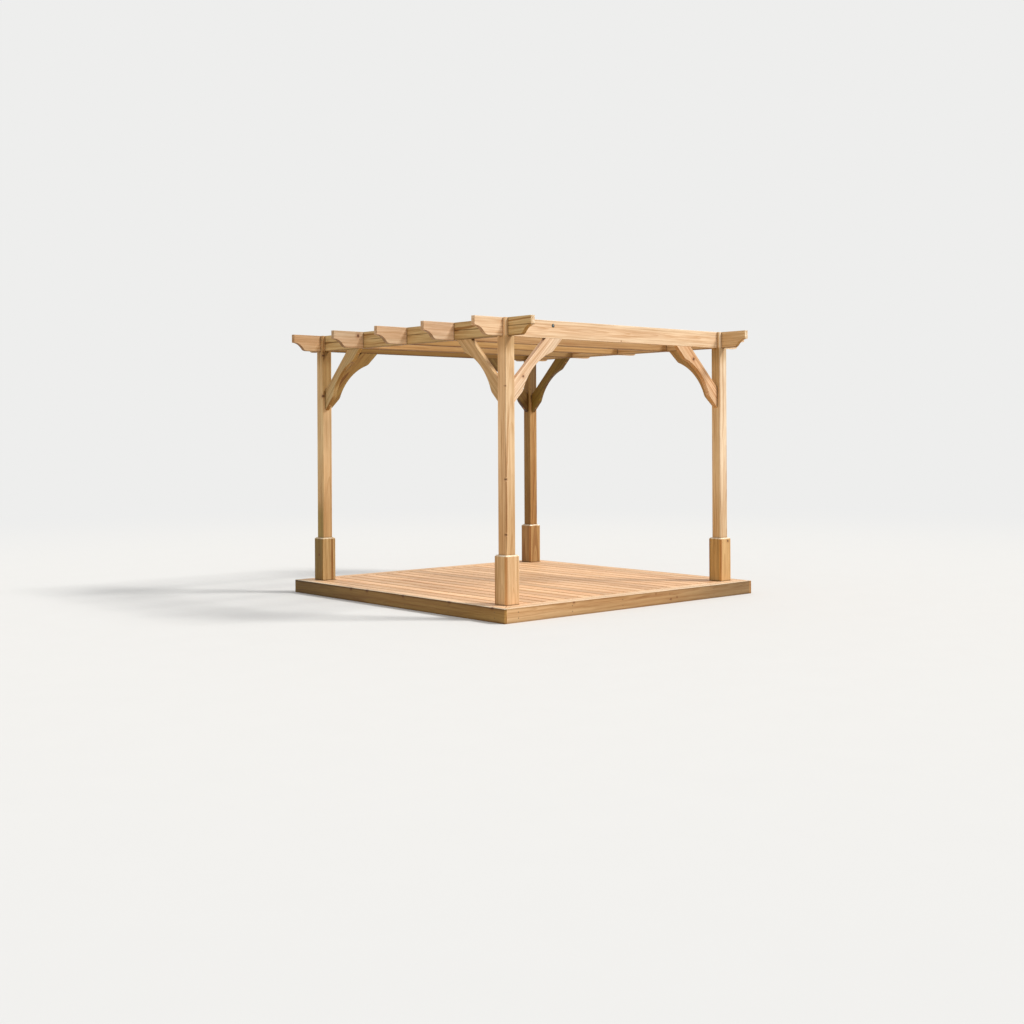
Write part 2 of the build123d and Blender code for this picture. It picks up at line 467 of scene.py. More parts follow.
# Where the stain on the front and back boards of a sleeve is, as a share of half its width
STAINS = {
    "post_sleeve_front_left": -0.93,
    "post_sleeve_front_right": -0.93,
    "post_sleeve_back_left": 0.47,
}

# What the left board of a sleeve is like along its front edge
WARM_EDGE = (1.14, 1.02, 0.84)

# What a fascia's front left end and its other end make of its colour: painted light at the front left
# end and painted shade at the other
FASCIA_LIGHT_AND_SHADE = {
    "fascia_front": ((1.34, 1.46, 1.68), (0.60, 0.62, 0.62)),
    "fascia_left": ((1.20, 1.22, 1.22), (0.60, 0.61, 0.50)),
}

# How dark the drying check along the outer face of a beam is
CHECKS = {"beam_left": 0.90, "beam_right": 0.15}

# What the painted shade of the roof leaves of a rafter's colour, between the beams: left, then right
ROOF_SHADE = {
    "rafter_2": ((0.74, 0.63, 0.45), (0.76, 0.64, 0.43)),
    "rafter_3": ((0.64, 0.50, 0.26), (0.88, 0.75, 0.48)),
    "rafter_4": ((1.00, 0.88, 0.59), (0.60, 0.53, 0.35)),
    "rafter_back": ((0.41, 0.33, 0.13), (0.39, 0.31, 0.13)),
}

# Shade on one face of a post, by its brace or at its foot: the heights and what it leaves
BRACE_SHADE = (0.72, 0.79)
FOOT_SHADE = (0.21, 0.11)
SHADED = {
    "post_back_left": (("-Y", BRACE_SHADE, (0.52, 0.47, 0.33)), ("-X", FOOT_SHADE, (0.66, 0.72, 0.50))),
    "post_back_right": (("-Y", BRACE_SHADE, (0.40, 0.40, 0.36)),),
    "post_front_right": (("-X", BRACE_SHADE, (0.78, 0.72, 0.60)),),
}

# Painted light on a post: what it makes of the colour half way up and above the beams' underside, and
# how much of the half way light a post shows
POST_PAINTED_LIGHT = (1.11, 1.16, 1.23)
POST_LIGHT_SHARE = {"post_front_right": 0.40}

# Painted light on the left tails behind the front one, next to the beam: how much paler they are there
TAIL_PAINTED_LIGHT = (1.26, 1.28, 1.30)

# What shade leaves on the front faces of the right tails behind the front one
TAIL_SHADE = (0.78, 0.70, 0.56)

# How much of the painted highlight the bevel of a sleeve shows
BEVEL_HIGHLIGHT_SHARES = {"post_sleeve_back_left": 0.60}

# Heights on a post, as shares of the way from the sleeve's top to the beam's underside
LIT_FRONT = ((0.30, 0.46), (0.97, 0.91))
LIT_REST = ((0.36, 0.50), (0.76, 0.62))
DARKER_FOOT = (0.34, 0.10)
HEAD_SHADE = (0.90, 0.97)
BELOW_BEAM = (1.010, 0.995)

# How far a mark reaches from a corner, a joint or an edge, in metres
SEAM = (0.0030, 0.0008)
JOINT_STAIN = (0.0135, 0.0065)
SLEEVE_FOOT = (0.012, 0.0)
WARM_REACH = (0.030, 0.014)
TIMBER_EDGE = (0.014, 0.005)
BOARD_EDGE = (0.016, 0.003)
FASCIA_FOOT = (0.030, 0.0)
FASCIA_LIP = (-0.022, -0.008)
CHECK_WIDTH = (0.0060, 0.0022)
INSIDE = (0.010, -0.020)

# How ragged the edge of a mark is, in metres
FOOT_RAGGED = 0.03
FADE_RAGGED = 0.3
CHECK_SWAY = 0.012

# How high up a beam its drying check is, as a share of the depth
CHECK_PLACE = 0.535

# Where a fascia fades to its painted light near the front left and to its painted shade at the other
# end, in shares of half its length
NEAR_PAINTED_LIGHT = (-0.2, -1.0)
FAR_PAINTED_SHADE = (0.1, 0.9)

# The painted light on a left tail: its slant, and its reach and its soft edge in metres
LIFT_SLANT = 0.75
LIFT_REACH = 0.045
LIFT_EDGE = (-0.03, 0.03)

# How strongly each mark shows
SEAM_STRENGTH = 0.4
SLEEVE_DIRT = 0.5
STAIN_LEAST = 0.50
STAIN_SWING = 0.35
# Painted shade along the lower edges of the beams and rafters
LOWER_EDGE_SHADE = 0.5
# Painted shade on the left tails' ogees and a painted highlight on the right ones
SHADED_OGEE = 0.55
LIT_OGEE = 0.60
LIT_ENDS = 0.88
LIT_TOP = 0.65
FASCIA_DIRT = 0.30
# Painted shade under the fascias' lips, strongest on the left
LIP_SHADE_STRENGTH = 0.25
LIP_SHADES = {"fascia_left": 0.75}

# How much of the roof's shade is missing on the faces that look up and to the back
OPEN_SHARE = 0.75

# Where a noise lets a sleeve's stain and a beam's drying check show
STAIN_LEVEL = (0.25, 0.50)
CHECK_LEVEL = (0.34, 0.52)

# What a surface's facing has to be, from -1 to 1, for a mark that lies on one kind of face
FACE_ON = (0.80, 0.95)
FACE_AWAY = (0.5, 0.9)
FACE_UP = (0.3, 0.6)
FACE_OPEN = (0.3, 0.7)
BEVELLED = ((0.3, 0.6), (0.95, 0.8))
HANGING = (-0.10, -0.35)
UNDERSIDE = (-0.3, -0.8)

# Where the left half of a rafter goes over into the right one, along X
LEFT_HALF = (0.1, -0.1)

# The noises in a log: features per metre along the grain and across it, detail and roughness
NOISES = {
    "drift": (0.9, 3.0, 2.0, 0.5),
    "ripple": (5.0, 16.0, 2.0, 0.5),
    "streak": (1.4, 42.0, 4.0, 0.6),
    "fibre": (9.0, 420.0, 2.0, 0.5),
    "resin": (2.2, 110.0, 1.0, 0.5),
    "fade": (1.3, 9.0, 1.0, 0.5),
    "patch": (0.8, 5.0, 1.0, 0.5),
    "stain": (3.0, 1.0, 2.0, 0.5),
    "sway": (2.5, 1.0, 3.0, 0.5),
    "check": (1.7, 1.0, 1.0, 0.5),
    "ragged": (7.0, 9.0, 3.0, 0.5),
}

# Where along the noises a log may start, in metres, and where the chances of its boards may
LOG_STARTS = (-40.0, 40.0)
BOARD_STARTS = 900.0

# A timber that rises by more than this share of its length counts as upright
STEEP = 0.9

# How far rings stray and ripple, and flow round a knot, in metres
RING_STRAY = 0.040
RING_RIPPLE = 0.006
KNOT_FLOW = 0.006

# Where in a year its dark late wood starts and ends, how strong the weakest is, and the mean
LATE_WOOD = ((0.30, 0.88), (1.0, 0.93))
LATE_LEAST = 0.25
LATE_MEAN = 0.22

# Where the noises turn into a dark grain line, a streak of resin and a stretch with lines
LINE_LEVEL = (0.57, 0.67)
RESIN_LEVEL = (0.69, 0.80)
FADE_LEVEL = (0.30, 0.62)

# Where a face counts as end grain, and how that deepens and darkens the grain
END_GRAIN = (0.45, 0.95)
END_CONTRAST = 0.5
END_SHADE = 0.22

# The mean darkness of the grain, what fine fibres and resin add to it, and the palest wood
MEAN_SHADE = 0.40
FINE_SHARE = 0.45
RESIN_SHADE = 0.30
PALEST = 0.96

# How far the heartwood reaches from the pith and strays, in metres, and how strong it is
HEARTWOOD = (0.075, 0.035)
HEART_STRAY = 0.03
HEART_STRENGTH = 0.8

# How much lighter and darker the patches along a board are
PATCHES = 0.16

# How deep a knot goes, in metres, and its heart and the wood round it in shares of its radius
KNOT_DEPTH = (0.030, 0.012)
KNOT_HEART = (1.15, 0.80)
KNOT_HALO = (3.4, 0.9)

# How strongly a knot and the wood round it show, and the waves in its outline per metre
KNOT_STRENGTH = 0.85
HALO_STRENGTH = 0.35
KNOT_WANDER = 130.0

# The room for one small knot along a log and across it, and the largest radius at a share of 1
SMALL_KNOT_ROOM = Vector((0.42, 0.075, 0.075))
SMALL_KNOT_RADIUS = 0.030

# How far the wood flows round a small knot, in radii, and the soft edges of both in metres
SMALL_KNOT_HALO = 2.6
HEART_BLUR = 0.0012
HALO_BLUR = 0.004

# The radius at which a small knot shows in full, and the wood that flows round it
LEAST_HEART = 0.001
LEAST_HALO = 0.002

# How open a place is where an edge is worn pale and given a painted highlight, and where dirt and
# painted shade gather in a crease
WORN_AND_LIT_EDGE = (0.85, 0.50)
CREASE = (0.82, 0.45)

# How many rays feel for near surfaces
WALL_RAYS = 6

# The mean roughness of planed wood, and what fibres, end grain and late wood change in it
WOOD_ROUGHNESS = 0.58
ROUGH_FIBRE = 0.25
ROUGH_END = 0.15
SMOOTH_LATE = 0.08

# What late wood, fibres and streaks add to the relief, and how deep knots sink in it
HIGH_LATE = 0.5
HIGH_FIBRE = 0.9
HIGH_STREAK = 0.5
DEEP_KNOT = 0.5

# How strongly the relief shows, and how much of the light planed wood mirrors
RELIEF_STRENGTH = 0.5
WOOD_GLOSS = 0.30


class Cut:
    """How one kind of timber is sawn from its log.

    Slot is the colour that it takes. The pith lies within two ranges, to the side of the timber's
    middle and up from it, in metres.
    Lines is how strongly dark grain lines show, and spread is how far a board's lightness may be
    from the mean.
    """

    def __init__(self, slot, pith_side, pith_up, lines=1.0, spread=0.035):
        self.slot = slot
        self.pith_side = pith_side
        self.pith_up = pith_up
        self.lines = lines
        self.spread = spread


# The cuts of the pergola's timbers
POST = Cut("post_timber", (-0.06, 0.06), (0.05, 0.11), lines=0.75)
SLEEVE = Cut("sleeve_board", (-0.03, 0.03), (-0.03, 0.03), lines=0.60)
BRACE = Cut("brace_timber", (-0.03, 0.03), (0.08, 0.14), lines=0.80)
BEAM = Cut("roof_timber", (0.035, 0.09), (-0.05, 0.05))
FRONT_RAFTER = Cut("roof_timber", (0.035, 0.09), (-0.05, 0.05), lines=0.28)
RAFTER = Cut("roof_timber", (0.035, 0.09), (-0.05, 0.05), lines=0.50)
DECK_BOARD = Cut("deck_board", (-0.05, 0.05), (-0.09, -0.03), lines=0.55, spread=0.13)
DECK_BORDER = Cut("deck_board", (-0.05, 0.05), (-0.09, -0.03))
FASCIA = Cut("fascia_board", (0.02, 0.07), (-0.05, 0.05), lines=0.40)
JOIST = Cut("joist_timber", (0.03, 0.08), (-0.05, 0.05))


class Timber:
    """The log that a timber was cut from, in the row frame."""

    def __init__(self, node, grain, cut):
        self.node = node
        self.cut = cut
        self.low, self.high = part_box(node)
        self.centre = (self.low + self.high) / 2
        self.grain = grain.normalized()
        level = UPRIGHT if abs(self.grain.z) < STEEP else ALONG_Y
        self.side = self.grain.cross(level).normalized()
        self.up = self.side.cross(self.grain)
        self.random = random.Random(node)

    def mean(self, colours):
        """The mean colour of this timber, with its tone and its painted light and shade."""
        return times(getattr(colours, self.cut.slot), TONES_AND_SHADE.get(self.node, WHITE))

    def highlight_tint(self, colours):
        """The tint that turns its mean colour into that of the painted highlight."""
        return tuple(a / b for a, b in zip(colours.pale_highlight, self.mean(colours)))

    def draws(self, paint, number=None):
        """A function that draws a value in a range: one for the timber, or one for each board."""
        def one(low, high):
            return self.random.uniform(low, high)

        def each(low, high):
            start = self.random.uniform(0.0, BOARD_STARTS)
            return paint.chance(number + start) * (high - low) + low
        return one if number is None else each


class Growth:
    """How one timber has grown, as signals over its surface, and how that surface lies."""

    def __init__(self, paint, timber, grain, boards):
        self.paint = paint
        self.timber = timber
        self.point = paint.point()
        self.normal = paint.node("ShaderNodeNewGeometry", None, None, "Normal")
        self.offset = paint.vector("SUBTRACT", self.point, timber.centre)
        side = self.from_middle(timber.side)
        number = None
        middle = 0.0
        if boards is not None:
            first, pitch = boards
            number = ((side - first) / pitch).floor()
            middle = (number + 0.5) * pitch + first
        self.draw = timber.draws(paint, number)
        start = self.draw(*LOG_STARTS)
        along = self.from_middle(timber.grain)
        up = self.from_middle(timber.up)
        self.local = paint.join(along + start, side, up)
        self.knots(grain.knot_share)

        self.drift = self.swing("drift")
        pith_side = self.draw(*timber.cut.pith_side) + middle
        pith_up = self.draw(*timber.cut.pith_up)
        reach = (side - pith_side).square_to(up - pith_up)
        reach = reach + self.drift * RING_STRAY + self.swing("ripple") * RING_RIPPLE
        self.reach = reach + along * grain.taper - self.halo * KNOT_FLOW
        years = self.reach / grain.ring_width
        year = years.floor()
        strength = paint.chance(year) * (1.0 - LATE_LEAST) + LATE_LEAST
        self.late = (years - year).between(*LATE_WOOD) * strength
        band_place = self.reach / grain.band_width + start
        line_place = self.reach / grain.line_width - start
        self.band = paint.noise_line(band_place, detail=3.0) - 0.5
        self.line = paint.noise_line(line_place, detail=1.0).rise(*LINE_LEVEL)
        self.streak = self.swing("streak")
        self.fibre = self.swing("fibre")
        self.end = abs(self.facing(timber.grain)).rise(*END_GRAIN)

    def knots(self, knot_share):
        """The hearts of all its knots and the wood that flows round them, both from 0 to 1."""
        wander = self.paint.noise(self.paint.scale(self.point, KNOT_WANDER), detail=1.0) - 0.5
        self.heart, self.halo = small_knots(self.paint, self.local, knot_share)
        for knot in KNOTS:
            if knot.node == self.timber.node:
                heart, halo = large_knot(self.paint, self.point, wander, knot)
                self.heart = self.heart.at_least(heart)
                self.halo = self.halo.at_least(halo)

    def noise(self, name):
        """One of the noises in the log, from 0 to 1."""
        along, across, detail, roughness = NOISES[name]
        place = self.paint.vector("MULTIPLY", self.local, (along, across, across))
        return self.paint.noise(place, detail, roughness)

    def swing(self, name):
        """One of the noises in the log, to both sides of 0."""
        return self.noise(name) - 0.5

    def place(self, direction):
        """How far a point lies along a direction, from the origin of the frame."""
        return self.paint.dot(self.point, direction)

    def from_middle(self, direction):
        """How far a point lies along a direction, from the middle of the timber."""
        return self.paint.dot(self.offset, direction)

    def facing(self, direction):
        """How much the surface faces along a direction, from -1 to 1."""
        return self.paint.dot(self.normal, direction)

    def looks(self, name):
        """1 on the face that looks one way, and 0 elsewhere."""
        return self.facing(FACINGS[name]).rise(*FACE_ON)

    def underside(self):
        """1 on what looks down, and 0 elsewhere."""
        return self.facing(UPRIGHT).rise(*UNDERSIDE)

    def lower_edge(self):
        """1 along the lower edge of a timber, and 0 from a little way up."""
        return (self.place(UPRIGHT) - self.timber.low.z).rise(*TIMBER_EDGE)


def large_knot(paint, point, wander, knot):
    """The heart of a knot and the wood that flows round it, both from 0 to 1."""
    offset = paint.vector("SUBTRACT", point, knot.place)
    near = abs(paint.dot(offset, knot.facing)).rise(*KNOT_DEPTH)
    in_face = [1.0 - abs(part) for part in knot.facing]
    distance = paint.size(paint.vector("MULTIPLY", offset, in_face)) / knot.radius + wander
    return distance.rise(*KNOT_HEART) * near, distance.rise(*KNOT_HALO) * near


def small_knots(paint, local, share_of_places):
    """Knots strewn at random through a log, from its own coordinates."""
    cells = paint.vector("DIVIDE", local, SMALL_KNOT_ROOM)
    cell = paint.node("ShaderNodeTexVoronoi", {"feature": "F1"}, {"Vector": cells, "Scale": 1.0})
    offset = paint.vector("SUBTRACT", cells, cell.output("Position"))
    distance = paint.size(paint.vector("MULTIPLY", offset, SMALL_KNOT_ROOM))
    draw = paint.dot(cell.output("Color"), ALONG_X)
    radius = (draw - (1.0 - share_of_places)).at_least(0.0) * SMALL_KNOT_RADIUS
    heart = (distance - radius).rise(HEART_BLUR, -HEART_BLUR)
    halo = (distance - radius * SMALL_KNOT_HALO).rise(HALO_BLUR, -HALO_BLUR)
    return heart * radius.rise(0.0, LEAST_HEART), halo * radius.rise(0.0, LEAST_HALO)


def near_walls(paint, reach, inside):
    """How open the surroundings are: 1 where no surface is within reach, in front or within."""
    settings = {"samples": WALL_RAYS, "inside": inside, "only_local": inside}
    return paint.node("ShaderNodeAmbientOcclusion", settings, {"Distance": reach}, "AO")


def grain_shade(log, grain):
    """How dark the grain is, from 0 to 1."""
    shade = (log.late - LATE_MEAN) * grain.ring_strength + log.band * grain.band_strength
    shade = shade + (log.streak + log.fibre * FINE_SHARE) * grain.fibre_strength
    shade = shade * (1.0 + log.end * END_CONTRAST) + MEAN_SHADE + log.end * END_SHADE
    return (shade + log.noise("resin").rise(*RESIN_LEVEL) * RESIN_SHADE).clamp()


def clean_wood(paint, log, mean, colours, grain):
    """The colour of the wood itself: its rings, its heart and its dark lines."""
    pale = tuple(
        min(part * (1.0 - MEAN_SHADE * left) / (1.0 - MEAN_SHADE), PALEST)
        for part, left in zip(mean, colours.late_tint))
    body = paint.mix(grain_shade(log, grain), pale, times(mean, colours.late_tint))
    heartwood = (log.reach + log.drift * HEART_STRAY).rise(*HEARTWOOD) * HEART_STRENGTH
    body = paint.tint(body, heartwood, colours.heart_tint)
    lines = log.line * log.noise("fade").rise(*FADE_LEVEL)
    body = paint.tint(body, lines * (grain.line_strength * log.timber.cut.lines), colours.line_tint)
    spread = log.timber.cut.spread
    return paint.scale(body, log.draw(1.0 - spread, 1.0 + spread) + log.swing("patch") * PATCHES)


def tone_sides(paint, log, body):
    """The colour with its painted light and shade from face to face."""
    away = log.facing(FACINGS["+X"]).at_least(log.facing(FACINGS["+Y"]))
    bright = [max(1.0, OPEN_TONE / part) for part in TONES_AND_SHADE.get(log.timber.node, WHITE)]
    body = paint.tint(body, away.rise(*FACE_AWAY), bright)
    for name, tone in SIDE_LIGHT_AND_SHADE.get(log.timber.node, {}).items():
        body = paint.tint(body, log.looks(name), tone)
    return body


def dress(timber, scene, marks=None, boards=None):
    """Gives a CAD node its wood: rings round a wandering pith, fibres, knots and end grain.

    Marks is a function of the log that returns what lies over the grain, each with what it leaves
    of the colour. Boards that share a node are told apart by where they lie along the side axis:
    boards holds where the first one starts and the pitch.
    """
    colours = scene.pergola_colours
    grain = scene.pergola_grain
    mean = timber.mean(colours)
    material, paint = new_material("wood_" + timber.node)
    log = Growth(paint, timber, grain, boards)
    body = clean_wood(paint, log, mean, colours, grain)
    body = tone_sides(paint, log, body)
    body = paint.mix(log.halo * HALO_STRENGTH, body, times(mean, colours.knot_halo))
    body = paint.mix(log.heart * KNOT_STRENGTH, body, colours.knot)
    # Paler edges: wear and a painted highlight
    worn_and_lit = near_walls(paint, grain.edge_reach, True).rise(*WORN_AND_LIT_EDGE)
    body = paint.scale(body, 1.0 + worn_and_lit * grain.edge_strength)
    # Darker creases and joints: dirt and painted shade
    dirt = near_walls(paint, grain.crease_reach, False).rise(*CREASE)
    body = paint.mix(dirt * grain.crease_strength, body, times(mean, colours.gap_and_shade_tint))
    if marks is not None:
        for mask, tint in marks(log):
            body = paint.tint(body, mask, tint)

    rough = WOOD_ROUGHNESS + log.fibre * ROUGH_FIBRE + log.end * ROUGH_END - log.late * SMOOTH_LATE
    height = log.late * HIGH_LATE + log.fibre * HIGH_FIBRE + log.streak * HIGH_STREAK
    relief = {"Strength": RELIEF_STRENGTH, "Distance": grain.relief,
              "Height": height - log.heart * DEEP_KNOT}
    bump = paint.node("ShaderNodeBump", None, relief)
    paint.finish(paint.surface({"Base Color": body, "Roughness": rough, "Normal": bump,
                                "Specular IOR Level": WOOD_GLOSS}))
    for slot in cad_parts[timber.node].material_slots:
        slot.material = material


# The bands of a small fixing are in its own material or in the dark one, which is painted shade, mostly
# in recesses and round rims, and the washer for the bolt
OWN = 0
DARK = 1

# Profiles of small fixings: shares of the radius and of the rise at each ring
SCREW_PROFILE = ((1.10, -1.0), (1.10, 0.15), (1.0, 0.15), (1.0, 0.60), (0.90, 1.0))
PLUG_PROFILE = ((1.06, -1.0), (1.06, 0.1), (1.0, 0.1), (1.0, 0.7), (0.93, 1.0))
PIN_PROFILE = ((1.0, -0.5), (1.0, 0.1), (0.7, 0.3))
WASHER_PROFILE = ((1.0, -5 / 14), (1.0, 5 / 7), (0.95, 1.0))

# The drive recess of a screw: the tips and hollows of its lobes, and its floor
SCREW_LOBES = 6
SCREW_STAR = (0.50, 0.34)
RECESS_FLOOR = 0.25

# The bolt's domed head: its rings, the share of the radius that it rises, and its flat top
DOME_RINGS = 5
DOME_RISE = 0.42
DOME_FLAT = 0.08

# How many sides the round fixings have
PIN_SIDES = 10
PLUG_SIDES = 24
BOLT_SIDES = 28

# How far the two rows in the deck's border are from its inner edge and its outer one, in insets
INNER_ROW = 1.4
OUTER_ROW = 0.9

# How far a sleeve's pins stay from its foot and its top, as shares of its height, and their pitch
PIN_LOWEST = 0.08
PIN_HIGHEST = 0.12
PIN_PITCH = 0.18

# Where the pins of the boards between two others are, as a share of half the post's width
PIN_COLUMN = 0.75

# How far a plug is from the end of a brace's outer edge, in plug radii
PLUG_INSET = 5

# A plug's grain in features per metre, what its dark streaks leave, and how rough it is
PLUG_GRAIN = (300.0, 300.0, 700.0)
PLUG_DARK = (0.62, 0.52, 0.42)
PLUG_ROUGHNESS = 0.55
PLUG_ROUGH_STREAK = 0.15

# The mottling of metal: fine spots and clouds per metre, and how much rougher a cloud is
FINE_SPOTS = 900.0
CLOUDS = 140.0
CLOUD_ROUGHNESS = 0.3

# Points of the CAD mesh that are nearer than this belong together
SAME_POINT = 1e-5

# Parts of the bay between two joists that are told apart, so that each joist has its own grain
JOIST_CELLS = 4


def plain_finish(name, base, roughness, metallic, mottle):
    """A metal or coated finish, mottled a little."""
    material, paint = new_material(name)
    point = paint.point()
    spots = paint.noise(paint.scale(point, FINE_SPOTS)) - 0.5
    clouds = paint.noise(paint.scale(point, CLOUDS)) - 0.5
    body = paint.scale(paint.join(*base), 1.0 + (spots + clouds) * mottle)
    paint.finish(paint.surface({"Base Color": body, "Metallic": metallic,
                                "Roughness": roughness + clouds * CLOUD_ROUGHNESS}))
    return material


class Heap:
    """Many small things gathered into one mesh, in the row frame."""

    def __init__(self):
        self.points = []
        self.faces = []
        self.marks = []

    def add(self, shape, place, facing, turn=0.0):
        """Adds a shape made about Z at a place, with its Z along a facing."""
        points, faces, marks = shape
        aim = facing.to_track_quat("Z", "Y").to_matrix().to_4x4()
        matrix = Matrix.Translation(place) @ aim @ Matrix.Rotation(turn, 4, "Z")
        first = len(self.points)
        self.points += [matrix @ point for point in points]
        self.faces += [[first + i for i in face] for face in faces]
        self.marks += marks

    def make(self, name, materials):
        """The piece itself, riding on the frame."""
        mesh = bpy.data.meshes.new(name)
        mesh.from_pydata([tuple(point) for point in self.points], [], self.faces)
        for material in materials:
            mesh.materials.append(material)
        mesh.polygons.foreach_set("material_index", self.marks)
        mesh.validate()
        mesh.update()
        piece = bpy.data.objects.new(name, mesh)
        bpy.context.scene.collection.objects.link(piece)
        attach(piece, BODY)
        return piece


def profile(shares, radius, rise):
    """Rings from shares of a radius and of a rise."""
    return [(radius * across, rise * up) for across, up in shares]


def turned(rings, sides, marks):
    """A closed shape from rings of points about Z, each a radius or a radius for each side.

    Marks holds the material of each band between two rings, and that of the last ring's face.
    """
    points = []
    for radii, height in rings:
        for i in range(sides):
            radius = radii[i % len(radii)] if isinstance(radii, tuple) else radii
            turn = math.tau * i / sides
            points.append(Vector((radius * math.cos(turn), radius * math.sin(turn), height)))
    faces = []
    colours = []
    for ring in range(len(rings) - 1):
        for i in range(sides):
            a = ring * sides + i
            b = ring * sides + (i + 1) % sides
            faces.append([a, b, b + sides, a + sides])
            colours.append(marks[ring])
    faces.append([(len(rings) - 1) * sides + i for i in range(sides)])
    colours.append(marks[-1])
    faces.append(list(reversed(range(sides))))
    colours.append(marks[0])
    return points, faces, colours


def screw_head(radius, rise):
    """A countersunk head with a lobed drive recess, seated on Z = 0."""
    star = tuple(radius * part for part in SCREW_STAR)
    rings = profile(SCREW_PROFILE, radius, rise) + [(star, rise), (star, rise * RECESS_FLOOR)]
    return turned(rings, 2 * SCREW_LOBES, [DARK, DARK, OWN, OWN, OWN, DARK, DARK])


def solid_boxes(node):
    """The corners of each separate solid in a CAD node, in the order of their lowest corners."""
    mesh = bmesh.new()
    mesh.from_mesh(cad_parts[node].data)
    bmesh.ops.remove_doubles(mesh, verts=mesh.verts, dist=SAME_POINT)
    boxes = []
    for first in mesh.verts:
        if first.tag:
            continue
        first.tag = True
        found = [first]
        for vert in found:
            for edge in vert.link_edges:
                other = edge.other_vert(vert)
                if not other.tag:
                    other.tag = True
                    found.append(other)
        low = Vector([min(vert.co[axis] for vert in found) for axis in range(3)])
        high = Vector([max(vert.co[axis] for vert in found) for axis in range(3)])
        boxes.append((low, high))
    mesh.free()
    return sorted(boxes, key=lambda box: tuple(box[0]))


def steps(low, high, pitch):
    """Even places from low to high, about a pitch apart, with one at each end."""
    count = max(1, round((high - low) / pitch))
    return [low + (high - low) * i / count for i in range(count + 1)]


def level_run(out):
    """The level direction along a face that looks out."""
    return ALONG_Y if abs(out.x) > abs(out.y) else ALONG_X


def braces(end, side):
    """The two braces of a corner, each with its level direction away from the post."""
    place = "%s_%s" % (end, side)
    return {"brace_rafter_" + place: ALONG_X * -SIDES[side],
            "brace_beam_" + place: ALONG_Y * -ENDS[end]}


class PERGOLA_OT_posts(bpy.types.Operator):
    """Gives the four posts their wood, with the pith boxed in or just outside"""

    bl_idname = "pergola.posts"
    bl_label = "Posts"

    def execute(self, context):
        for corner in CORNERS:
            timber = Timber("post_%s_%s" % corner, UPRIGHT, POST)
            sleeve_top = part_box("post_sleeve_%s_%s" % corner)[1].z
            marks = self.weather(timber.node, sleeve_top, context.scene.pergola_colours)
            dress(timber, context.scene, marks)
        return {"FINISHED"}

    def weather(self, node, sleeve_top, colours):
        """Darker towards the foot, painted light half way up and above the beams' underside, and painted
        shade at the head and by some braces.
        """
        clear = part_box("beam_left")[0].z - sleeve_top

        def marks(log):
            height = (log.place(UPRIGHT) - sleeve_top) / clear
            below = height.rise(*BELOW_BEAM)
            front = log.looks("-Y")
            rest = height.between(*LIT_REST) * (1.0 - front)
            painted_lit = (height.between(*LIT_FRONT) * front + rest) * POST_LIGHT_SHARE.get(node, 1.0)
            # Painted light half way up and above the beams' underside, painted shade at the head and by
            # braces
            found = [
                (height.rise(*DARKER_FOOT), colours.foot_tint),
                (painted_lit, POST_PAINTED_LIGHT),
                (height.rise(*HEAD_SHADE) * below, colours.head_tint),
                (1.0 - below, POST_PAINTED_LIGHT),
            ]
            for facing, span, tint in SHADED.get(node, ()):
                found.append((height.rise(*span) * below * log.looks(facing), tint))
            return found
        return marks


class PERGOLA_OT_sleeves(bpy.types.Operator):
    """Gives the boards round the posts' feet their wood, painted highlights on the bevels and stained
    joints
    """

    bl_idname = "pergola.sleeves"
    bl_label = "Post Sleeves"

    def execute(self, context):
        for corner in CORNERS:
            timber = Timber("post_sleeve_%s_%s" % corner, UPRIGHT, SLEEVE)
            post_low, post_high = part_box("post_%s_%s" % corner)
            half_post = (post_high.x - post_low.x) / 2
            marks = self.joints(timber, half_post, context.scene.pergola_colours)
            dress(timber, context.scene, marks)
        return {"FINISHED"}

    def joints(self, timber, half_post, colours):
        """Painted highlights on the bevels, seams, the stain along a joint, dirt at the foot and a warm
        edge.
        """
        half = (timber.high.x - timber.low.x) / 2
        stain = half * STAINS.get(timber.node, -1.0)
        pale_highlight = timber.highlight_tint(colours)
        highlight_share = BEVEL_HIGHLIGHT_SHARES.get(timber.node, 1.0)

        def marks(log):
            across = log.from_middle(ALONG_X)
            depth = half - abs(log.from_middle(ALONG_Y))
            ends = abs(log.facing(ALONG_Y)).rise(*FACE_AWAY)
            seam = abs(abs(across) - half_post).rise(*SEAM) * ends * SEAM_STRENGTH
            foot = (log.place(UPRIGHT) - timber.low.z).rise(*SLEEVE_FOOT) * SLEEVE_DIRT
            stained = (across - stain).square_to(depth).rise(*JOINT_STAIN)
            gate = log.noise("stain").rise(*STAIN_LEVEL)
            bevel = log.facing(UPRIGHT).between(*BEVELLED)
            plain = 1.0 - bevel
            left = log.facing(FACINGS["-X"]).rise(*FACE_AWAY)
            edge = (log.place(ALONG_Y) - timber.low.y).rise(*WARM_REACH)
            return [
                (bevel * highlight_share, pale_highlight),
                (seam.at_least(foot) * plain, colours.gap_and_shade_tint),
                (stained * (gate * STAIN_SWING + STAIN_LEAST) * plain, colours.joint_tint),
                (left * edge * plain, WARM_EDGE),
            ]
        return marks


class PERGOLA_OT_braces(bpy.types.Operator):
    """Gives the eight knee braces their wood, with the grain along each board"""

    bl_idname = "pergola.braces"
    bl_label = "Knee Braces"

    def execute(self, context):
        inner = context.scene.pergola_colours.painted_shade_tint

        # Painted shade on the braces' undersides
        def shaded_underside(log):
            return [(log.underside(), inner)]

        for corner in CORNERS:
            for node, away in braces(*corner).items():
                dress(Timber(node, away + UPRIGHT, BRACE), context.scene, shaded_underside)
        return {"FINISHED"}


